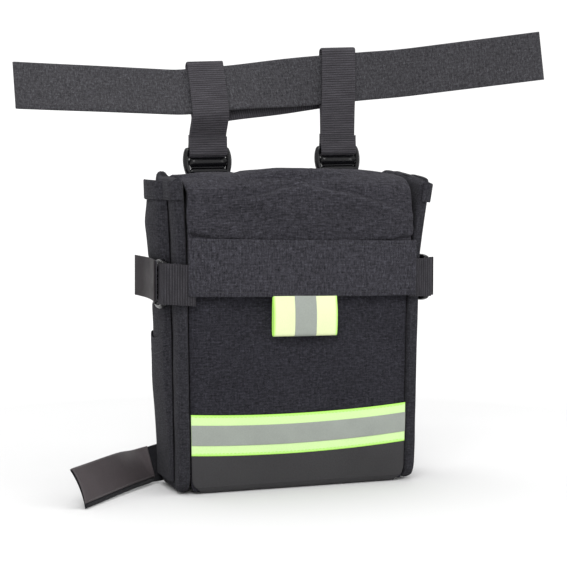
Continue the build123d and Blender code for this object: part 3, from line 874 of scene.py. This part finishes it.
def make_side(sign, side):
    """Padded side: a rolled front edge, a seam behind it, rounded lower corners."""
    around, middle_ring = 64, 60
    lowest, highest = [1.0, 1.4, 2.4, 4.0, 6.5], [237.8, 239.2, 239.9, SIDE_TOP]
    heights = np.concatenate([lowest, np.linspace(10, HEIGHT, 120), highest])
    turn = np.linspace(0, 2 * math.pi, around, endpoint=False)
    grid = np.array([side_ring(sign, height, turn) for height in heights])
    verts = grid.reshape(-1, 3)
    faces = []
    for r in range(len(grid) - 1):
        for k in range(around):
            n = (k + 1) % around
            faces.append((r * around + k, r * around + n, (r + 1) * around + n, (r + 1) * around + k))
    for r in (0, len(grid) - 1):
        centre = len(verts)
        verts = np.concatenate([verts, [grid[r].mean(axis=0)]])
        faces += [(r * around + k, r * around + (k + 1) % around, centre) for k in range(around)]
    run = travelled(grid[middle_ring])
    uv = np.stack(np.meshgrid(run, heights), axis=2).reshape(-1, 2)
    uv = np.concatenate([uv, [[0, heights[0]], [0, heights[-1]]]])
    panel = piece(f"{side}_side_padding", verts, faces, LOOKS["side"], uv)
    attach(panel, "pouch", "pouch_fabric", f"{side}_side_panel")


def mound(y, front, back):
    """1 midway between two places, and 0 at both."""
    return 1 - ((y - (front + back) / 2) / ((back - front) / 2)) ** 2


def pocket_grid(sign, low, high, rows, front, back, off, mouth_off, bulge, dip):
    """Sheet on the side; it stands off towards its mouth and is drawn in under the side strap.

    off and mouth_off are its distances from the side near its foot and at its mouth, which bulges by
    bulge and dips by dip in the middle."""
    ys = stops(front, back, 26, 0.6)[None, :]
    middle = mound(ys, front, back)
    full = np.clip(middle, 0, 1)
    heights = low + stops(0, 1, rows, 0.01)[:, None] * (high - dip * middle - low)
    stand = np.clip((heights - (high - 110)) / 110, 0, 1) ** 1.3
    away = off + (mouth_off - off) * stand + bulge * stand * full**0.7
    above_strap = ease(heights, 166, 178) * (1 - ease(heights, 200, 228))
    below_strap = ease(-heights, -150, -138) * ease(heights, 24, 90)
    away = away + LOOSE[sign] * (above_strap + below_strap) * full**0.7
    away = 0.4 + (away - 0.4) * ease(np.minimum(ys - front, back - ys), -0.5, 4.0)
    away = away + 0.35 * ripple(surface(0.0, ys, heights), 22.0, 11.0 + sign) * full
    return surface(side_x(sign, heights, ys, away), ys, side_z(sign, heights, ys))


def mouth_hem(sign, low, high, back):
    """Hem band round the top of a side: over the pocket's mouth and round the rolled front edge."""
    places = [
        (back, 3.0), (-28.0, 3.0), (POCKET_FRONT, 3.0), (FRONT_Y + 4.0, 2.6), (FRONT_Y + 0.5, 2.4),
        (FRONT_Y - 2.6, 1.2), (FRONT_Y - 4.4, -1.6), (FRONT_Y - 4.6, -5.0), (FRONT_Y - 4.4, -7.0),
    ]
    ys, off = smooth_line(places, 0.8).T
    heights = np.linspace(low, high, 15)[:, None]
    away = off + (6.1 + 0.5 * LOOSE[sign]) * np.clip(mound(ys, POCKET_FRONT, back), 0, 1) ** 0.6
    return surface(side_x(sign, heights, ys, away), ys, side_z(sign, heights, ys))


def make_pockets(sign, side):
    front, back = POCKET_FRONT, POCKET_BACK
    sheet = pocket_grid(sign, 9, POCKET_MOUTH, 80, front, back, 1.6, 4.5, 5.5, 0.0)
    pocket = shell(f"{side}_pocket_cloth", sheet, 0.9, "side")
    hem = mouth_hem(sign, *HEM, back + 0.4)
    hem_piece = shell(f"{side}_pocket_mouth_hem", hem, 1.1, "side")
    lower = pocket_grid(sign, 8, LOWER_MOUTH, 40, front - 0.6, back + 0.6, 2.6, 3.0, 0.5, 6.0)
    lower_piece = shell(f"{side}_lower_pocket_cloth", lower, 1.0, "side")
    for obj, node in ((pocket, "side_pocket"), (hem_piece, "pocket_hem"), (lower_piece, "lower_pocket")):
        attach(obj, "pouch", "pouch_fabric", f"{side}_{node}")
    out = np.array((sign, 0, 0))
    lines = [(hem[row][2:-14] + out * 0.6, out) for row in (1, 3)]
    lines.append((lower[-8][2:-2] + out * 0.5, out))
    stitching(f"{side}_pocket_stitches", lines, "pouch", pitch=3.0, length=2.2, width=0.5)


# ---------------- back, anchors and inside


def make_back():
    """Back panel with a bound edge, and the seam that the lid folds from."""
    heights = stops(2, HEIGHT, 50, 1.5)[:, None]
    x = stops(-1, 1, 44, 0.016)[None, :] * (half_width(heights) + 0.6)
    grid = surface(x, BACK_Y - 2.0, up(heights))
    grid[:, :, 1] += 0.5 * ripple(grid, 60.0, 5.0) - 0.3
    panel = shell("back_cloth", grid, 4.0, "body")
    attach(panel, "pouch", "pouch_fabric", "back_panel")
    half = HALF_TOP - 1.0
    profile = [
        (BACK_Y + 0.1, up(HEIGHT - 8)), (BACK_Y + 0.1, up(HEIGHT - 3)), (BACK_Y - 1.8, up(HEIGHT + 1.0)),
        (BACK_Y - 3.4, up(HEIGHT + 1.4)), (BACK_Y - 4.6, up(HEIGHT - 1)), (BACK_Y - 4.4, up(HEIGHT - 8)),
    ]
    path = surface(0.0, *smooth_line(profile, 0.8).T)
    binding = ribbon("lid_seam_binding", path, (1, 0, 0), 2 * half, 0.9, "elastic", columns=60)
    attach(binding, "pouch", "pouch_fabric", "lid_seam")
    ends = [[s * half * 0.98, BACK_Y + 0.45, up(HEIGHT - 5)] for s in (-1, 1)]
    stitching("back_binding_stitches", [(ends, (0, 1, 0))], "pouch")


def sewn_box(corners, outward, crossed=False):
    """Stitch lines round four corners, and from corner to corner where crossed."""
    pairs = [(0, 1), (1, 2), (2, 3), (3, 0)] + [(0, 2), (1, 3)] * crossed
    return [([corners[a], corners[b]], outward) for a, b in pairs]


def make_anchor(sign, side):
    """Webbing sewn to the back panel and folded round the loop buckle's lower bar."""
    x = sign * HANGER_X
    bar = up(PIVOT_HEIGHT) + tilt_rise(x)
    wrap = 3.1
    route = [
        (-1.75, up(196)), (-1.75, up(222)), (-2.6, bar - 4.5), (-wrap, bar), (-wrap, bar + wrap),
        (0, bar + wrap + 0.5), (wrap, bar + wrap), (wrap, bar - 3.0), (1.4, bar - 9.5), (-0.1, bar - 17.0),
        (-0.1, up(198)),
    ]
    strap = webbing(f"{side}_anchor_strap", [(x, y, z) for y, z in route], ALONG, thick=1.4)
    attach(strap, "pouch", "webbing", f"{side}_anchor_webbing")
    half, low, high, y = WEB_WIDTH / 2 - 2.5, up(199.5), up(219), 0.75
    corners = [(x - half, y, low), (x + half, y, low), (x + half, y, high), (x - half, y, high)]
    lines = sewn_box(corners, (0, 1, 0), crossed=True)
    stitching(f"{side}_anchor_stitches", lines, "pouch", pitch=2.8, length=2.1)


def make_side_anchor(sign, side):
    """The sewn stretch of a side strap, flat against the side."""
    low, high = cad(f"{side}_side_anchor")
    x = sign * (max(abs(low[0]), abs(high[0])) - 0.7)
    path = [(x, low[1], up(STRAP_HEIGHT)), (x, high[1], up(STRAP_HEIGHT))]
    # The darker webbing look is painted shade on this side strap.
    strap = webbing(f"{side}_shaded_webbing", path, (0, 0, 1), thick=1.3, look="shaded_webbing")
    attach(strap, "pouch", "webbing", f"{side}_side_anchor")
    near, far, face = high[1] - 2.5, high[1] - 12.0, sign * (abs(x) + 0.85)
    foot, top = up(STRAP_HEIGHT) - 12.5, up(STRAP_HEIGHT) + 12.5
    corners = [(face, near, foot), (face, far, foot), (face, far, top), (face, near, top)]
    lines = sewn_box(corners, (sign, 0, 0))
    stitching(f"{side}_side_webbing_stitches", lines, "pouch", pitch=2.8, length=2.1)


def make_inside():
    """Elastic loops on the back wall."""
    low, high = cad("inner_elastic")
    loops, steps, pitch, bulge = 4, 16, 34.0, 8.0
    wall, middle = high[1] - 0.8, (low[2] + high[2]) / 2
    line = []
    for share in np.arange(loops * steps + 1) / steps:
        y = wall - bulge * abs(math.sin(math.pi * share)) ** 0.7
        line.append(((share - loops / 2) * pitch, y, middle))
    path, tall = smooth_line(line, 1.2), high[2] - low[2]
    strip = ribbon("dressing_loops", path, (0, 0, 1), tall, 1.1, "elastic", 1.5, 0.18)
    attach(strip, "pouch", "elastic", "inner_elastic")


# ---------------- leg strap


def leg_frame(step):
    """Points, outward and upward directions along the leg strap, from behind the pouch to its end.

    Each place also holds the strap's heading and lean there, in degrees."""
    places = [
        (82.0, -2.9, 18.5, 180.0, 0.0), (0.0, -2.9, 18.5, 180.0, 0.0),
        (-88.0, -2.9, 16.6, 180.0, -8.0), (-101.0, -2.9, 14.2, 184.0, -30.0),
        (-109.0, -5.2, 13.2, 208.0, -40.0), (-115.0, -12.0, 13.3, 226.0, -38.0),
        (-127.0, -26.5, 14.6, 227.0, -31.0), (-142.0, -43.5, 14.5, 228.0, -26.0),
        (-160.0, -63.5, 13.9, 230.0, -25.0), (-175.0, -81.5, 13.9, 233.0, -24.0),
    ]
    x, y, height, heading, lean = smooth_line(places, step).T
    heading, lean = np.radians(heading), np.radians(lean)
    outward = surface(-np.sin(heading) * np.cos(lean), np.cos(heading) * np.cos(lean), -np.sin(lean))
    upward = surface(-np.sin(heading) * np.sin(lean), np.cos(heading) * np.sin(lean), np.cos(lean))
    return surface(x, y, up(height)), outward, upward


def make_leg_strap():
    """Velour strap along the pouch's back and out to the left, with a coated grip on its end."""
    bend = ((-0.0955, -0.0029, 0), (-0.106, -0.0029, 0))
    points, outward, upward = leg_frame(1.6)
    strap = ribbon("leg_strap", points, upward, 29.5, 1.8, "velour", columns=14, hollow=3.0)
    attach_bent(strap, "pouch", "leg_strap", bend, "strap_velour", "leg_strap_base", "leg_strap_tip")
    points, outward, upward = leg_frame(1.2)
    keep = points[:, 0] < -103.0
    points, outward, upward = points[keep], outward[keep], upward[keep]
    path = points + outward * 1.45 + upward * 1.8
    path = path + outward * (0.25 * ripple(path, 14.0))[:, None]
    grip = ribbon("leg_strap_coated_end", path, upward, 26.4, 1.0, "grip", columns=14, hollow=3.0)
    attach_bent(grip, "pouch", "leg_strap", bend, "coated_fabric", "leg_strap_grip")
    inner = slice(4, -4)
    lines = []
    for off in (-12.2, 12.2):
        lines.append((path[inner] + upward[inner] * off + outward[inner] * 0.5, outward[0]))
    stitching("leg_strap_stitches", lines, "leg_strap", pitch=3.0, length=2.2, width=0.5, look="pale_thread")


# ---------------- lid


def lid_crest(x):
    """How much lower the crest lies at an x: it droops towards the left end and a little at the right."""
    share = x / HALF_TOP
    left, right = ease(-share, -0.1, 0.6), ease(share, 0.25, 1.05)
    return 1.0 + 4.4 * left + 6.4 * ease(-share, 0.5, 1.05) + 2.6 * right


def lid_profile(x):
    """Side line of the lid at an x, from the seam over the crest and down the front."""
    drop = float(lid_crest(x))
    lean = (abs(x) / HALF_TOP) ** 3
    return [
        (BACK_Y - 4.0, up(HEIGHT + 1.6)), (HINGE_Y, up(HINGE_HEIGHT + 0.6 - drop * 0.1)),
        (HINGE_Y - 11, up(245.2 - drop * 0.55)), (HINGE_Y - 24, up(247.2 - drop)),
        (HINGE_Y - 38, up(246.2 - drop)), (FRONT_Y + 3.5, up(242.0 - drop)),
        (FRONT_Y - 2.6, up(236.0 - drop)), (FRONT_Y - 3.9 - lean, up(228.0)),
        (FRONT_Y - 4.2 - lean, up(212.0)), (FRONT_Y - 3.8, up(196.0)), (FRONT_Y - 3.7, up(180.0)),
        (FRONT_Y - 3.7, up(BAND_LOW)),
    ]


def lid_grid():
    half_lid = 91.2
    marks = stops(0, 1, 112, 0.012)
    columns = []
    for x in stops(-1, 1, 64, 0.016) * half_lid:
        line = smooth_line(lid_profile(x), 1.0)
        run = np.linspace(0, 1, len(line))
        columns.append(surface(x, np.interp(marks, run, line[:, 0]), np.interp(marks, run, line[:, 1])))
    return np.stack(columns, axis=1)


def make_lid():
    """Woven flap, settled between its back seam and the band, with low waves over its top."""
    grid = lid_grid()
    rows = len(grid)
    held = np.zeros(grid.shape[:2])
    held[:10] = 1.0
    held[int(rows * 0.70):] = 1.0
    grid = settle(grid, held, grow=0.03, limit=2.2)
    waves = 0.45 * ripple(grid, 30.0, 21.0) + 0.2 * ripple(grid, 11.0, 4.0)
    share = np.arange(rows) / rows
    fade = ease(share, 0.08, 0.2) * (1 - ease(share, 0.66, 0.74))
    grid = grid + normals(grid) * (waves * fade[:, None])[:, :, None]
    cover = shell("lid_cloth", grid, 3.0, "lid")
    attach_bent(cover, "pouch", "lid", ((0, -0.0075, 0), (0, -0.019, 0)), "pouch_fabric", "lid_panel")


def band_face(x, height):
    """Y of the band's middle surface, a little wavy."""
    return BAND_Y - 0.35 * ripple(surface(x, 0.0, height), 34.0, 9.0) - 0.25


def band_sag(x):
    return 0.5 * np.sin((x - BAND_LEFT) / (BAND_RIGHT - BAND_LEFT) * math.pi)


def make_band():
    """Wide band along the lid's lower edge: folded hems at its ends and a sewn channel along each edge."""
    hem, low_seam, top_seam = 5.2, 3.4, 3.0
    xs = stops(BAND_LEFT, BAND_RIGHT, 90, 1.4)[None, :]
    heights = stops(BAND_LOW, BAND_HIGH, 26, 1.4)[:, None]
    grid = surface(xs, band_face(xs, heights), up(heights - band_sag(xs)))
    full = np.full(grid.shape[:2], 2.7)
    for inward in (xs - BAND_LEFT, BAND_RIGHT - xs):
        full = full - 0.9 * bell(inward, hem, 0.8) + 0.5 * (1 - ease(inward, 3.5, hem))
    full = full - 0.5 * bell(BAND_HIGH - heights, top_seam, 0.7)
    full = full - 0.6 * bell(heights - BAND_LOW, low_seam, 0.7)
    band = shell("lid_band_cloth", grid, full, "band")
    attach(band, "lid", "band_fabric", "lid_band")
    out = (0, -1, 0)
    low, high = BAND_LOW + low_seam, BAND_HIGH - top_seam
    x, h = np.linspace(BAND_LEFT + 7, BAND_RIGHT - 7, 40), np.linspace(low, high, 12)
    lines = [(surface(x, band_face(x, z) - 1.2, up(z - band_sag(x))), out) for z in (low, high)]
    lines += [(surface(e, band_face(e, h) - 1.1, up(h)), out) for e in (BAND_LEFT + hem, BAND_RIGHT - hem)]
    stitching("band_stitches", lines, "lid", pitch=3.0, length=2.3, width=0.5)


def make_band_strap(sign, side):
    """Webbing from under the band's end, round the corner, round the buckle's front bar and back."""
    edge = abs(BAND_LEFT if sign == LEFT else BAND_RIGHT)
    outer = BUCKLE_X + 2.75
    wrap = 2.85
    route = [
        (edge - 6, BAND_Y + 0.9), (edge + 1, BAND_Y + 0.2), (edge + 6, BAND_Y + 0.4),
        (outer - 5.0, BAND_Y + 1.0), (outer - 1.2, BAND_Y + 3.2), (outer + 0.2, BUCKLE_Y - 3.5),
        (BUCKLE_X + wrap, BUCKLE_Y - 0.5), (BUCKLE_X + wrap, BUCKLE_Y + wrap),
        (BUCKLE_X, BUCKLE_Y + wrap + 0.5), (BUCKLE_X - wrap, BUCKLE_Y + wrap),
        (BUCKLE_X - wrap, BUCKLE_Y), (BUCKLE_X - wrap + 0.6, BUCKLE_Y - 3.5),
        (BUCKLE_X - 3.0, BUCKLE_Y - 6.6), (BUCKLE_X - 6.5, BAND_Y + 2.9), (edge + 8, BAND_Y + 2.2),
    ]
    path = []
    for x, y in route:
        drop = STRAP_DROP[sign] * np.interp(x, (edge - 6, BUCKLE_X), (1.35, 1.0))
        path.append((sign * x, y, up(STRAP_HEIGHT) - drop))
    # The darker webbing look is painted shade on this side strap.
    strap = webbing(f"{side}_band_webbing", path, (0, 0, 1), thick=1.4, look="shaded_webbing")
    attach(strap, "lid", "webbing", f"{side}_band_strap")


# ---------------- pull tab and strap tails


def make_pull_tab():
    """Loop of yellow tape with a grey strip, bulged, out from under the band's lower edge."""
    low, high = cad("pull_tab_lime")
    y = (low[1] + high[1]) / 2 + 0.9
    rise, fold = high[2] + 1.0, low[2] + 2.6
    bend = ((0, 0, (high[2] - 0.5) * MM), (0, 0, (high[2] - 5.0) * MM))
    for name, node, slot, look, off, width, thick in (
        ("pull_tab_yellow_tape", "pull_tab_lime", "lime_tape", "lime_tab", 0.6, 52.0, 0.8),
        ("pull_tab_grey_tape", "pull_tab_silver", "silver_tape", "silver", 1.1, 17.5, 0.35),
    ):
        front, back = y - off, y + off
        route = [
            (y - 0.3 - off * 0.6, rise), (front - 0.6, rise - 4), (front - 1.9, rise - 11),
            (front - 2.0, rise - 20), (front - 1.5, fold + 3), (front - 0.9, fold - off * 0.5),
            (y, fold - 0.7 - off), (back + 0.6, fold + 0.6), (back + 0.9, fold + 5),
            (back + 0.7, rise - 14), (back + 0.3, rise - 4), (y + 0.3 + off * 0.6, rise),
        ]
        path = surface(0.0, *smooth_line(route, 0.7).T)
        tape = ribbon(name, path, (1, 0, 0), width, thick, look, columns=24)
        attach_bent(tape, "lid", "pull_tab", bend, slot, node)


def make_tail(sign, side):
    """Free end of the side strap, folded back over the buckle, with a coated grip."""
    root, tip = -59.0, -19.0
    flat = [(113.0, root), (112.8, -52.0), (112.8, -44.0), (114.0, -34.0), (116.4, -26.0), (118.6, tip)]
    bend = ((0, -0.050, 0), (0, -0.040, 0))

    def line(off):
        points = []
        for x, y in flat:
            tilt = STRAP_DROP[sign] * np.interp(y, (root, tip), (-0.75, 0.55))
            points.append((sign * (x + off), y, up(STRAP_HEIGHT + 1) + tilt - 0.02 * (y - root) ** 1.2))
        return np.array(points)

    # The darker webbing look is painted shade on this strap tail.
    strap = webbing(f"{side}_tail_webbing", line(0.0), (0, 0, 1), thick=1.3, look="shaded_webbing")
    attach_bent(strap, "pouch", f"{side}_tail", bend, "webbing", f"{side}_strap_tail")
    path = smooth_line(line(1.35), 1.0)
    grip = ribbon(f"{side}_tail_coated_end", path, (0, 0, 1), 30.5, 1.0, "tail", columns=12)
    attach_bent(grip, "pouch", f"{side}_tail", bend, "coated_fabric", f"{side}_tail_grip")


# ---------------- carried-over CAD parts


def dress_cad():
    """Looks for the rigid CAD parts that are shown as they are."""
    looks = {"back_board": "board", "base_board": "board", "loop_patch": "hook", "hook_patch": "hook"}
    for node, look in looks.items():
        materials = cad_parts[node].data.materials
        materials.clear()
        materials.append(LOOKS[look])


# ---------------- stage


def make_backdrop():
    """Pale floor that curves up into a wall; far from the object it glows a little and turns white."""
    wide, near, far, bend, top = 4000, -3000, 1200, 900, 4000
    sweep = [(near, 0), (far, 0)]
    for angle in np.linspace(0.1, math.pi / 2, 14):
        sweep.append((far + bend * math.sin(angle), bend - bend * math.cos(angle)))
    sweep.append((far + bend, top))
    grid = np.array([[(x, y, BASE - 0.2 + z) for x in (-wide, 0, wide)] for y, z in sweep], float)
    paint, tree, shader = blank(
        "pale_floor", Roughness=0.95, Specular_IOR_Level=0.0, Base_Color=(0.68, 0.68, 0.68, 1.0),
        Emission_Color=WHITE,
    )
    position = add(tree, "ShaderNodeNewGeometry").outputs["Position"]
    away = add(tree, "ShaderNodeVectorMath", {0: position}, operation="LENGTH").outputs["Value"]
    tree.links.new(mapped(tree, away, 0.6, 1.0, 0.0, 0.32), shader.inputs["Emission Strength"])
    piece("backdrop", grid.reshape(-1, 3), quads(*grid.shape[:2]), paint)


def softbox(name, place, aim, size, power):
    data = bpy.data.lights.new(name, "AREA")
    data.shape = "RECTANGLE"
    data.size, data.size_y = size
    data.energy = power
    obj = placed(name, data)
    obj.location = place
    obj.rotation_euler = (Vector(aim) - Vector(place)).to_track_quat("-Z", "Y").to_euler()


def make_lights():
    world = bpy.data.worlds.new("studio")
    world.use_nodes = True
    sky = world.node_tree.nodes["Background"]
    sky.inputs[0].default_value = WHITE
    sky.inputs[1].default_value = 1.0
    bpy.context.scene.world = world
    softbox("key", (-0.7, -1.3, 1.1), (0, 0, -0.15), (0.9, 0.7), 14.0)
    softbox("fill", (1.2, -0.9, 0.4), (0, 0, -0.15), (0.8, 0.8), 4.0)
    softbox("top", (0.0, 0.2, 1.3), (0, -0.02, -0.1), (1.2, 0.8), 9.0)


def make_camera():
    """Camera in front of the pouch and to its left, level with it, so that its left side shows a little."""
    data = bpy.data.cameras.new("camera")
    camera = placed("camera", data)
    data.sensor_width = 36.0
    data.lens = 73.0
    yaw, pitch, roll = math.radians(-20.36), math.radians(-1.34), math.radians(-0.2)
    place = Matrix.Translation((-0.3188, -0.8813, 0.1769 + BASE * MM))
    turn = Matrix.Rotation(yaw, 4, "Z") @ Matrix.Rotation(pitch, 4, "X") @ Matrix.Rotation(roll, 4, "Y")
    camera.matrix_world = place @ turn @ Matrix.Rotation(math.radians(90), 4, "X")
    bpy.context.scene.camera = camera


make_camera()
make_backdrop()
make_lights()
make_belt()
make_bridge()
make_front()
make_stripe()
make_base()
make_back()
make_lid()
make_band()
make_pull_tab()
make_inside()
make_leg_strap()
for sign, side in SIDES:
    make_hanger(sign, side)
    make_buckles(sign, side)
    make_anchor(sign, side)
    make_side(sign, side)
    make_pockets(sign, side)
    make_side_anchor(sign, side)
    make_band_strap(sign, side)
    make_tail(sign, side)
dress_cad()

bpy.context.scene.view_settings.view_transform = "Standard"
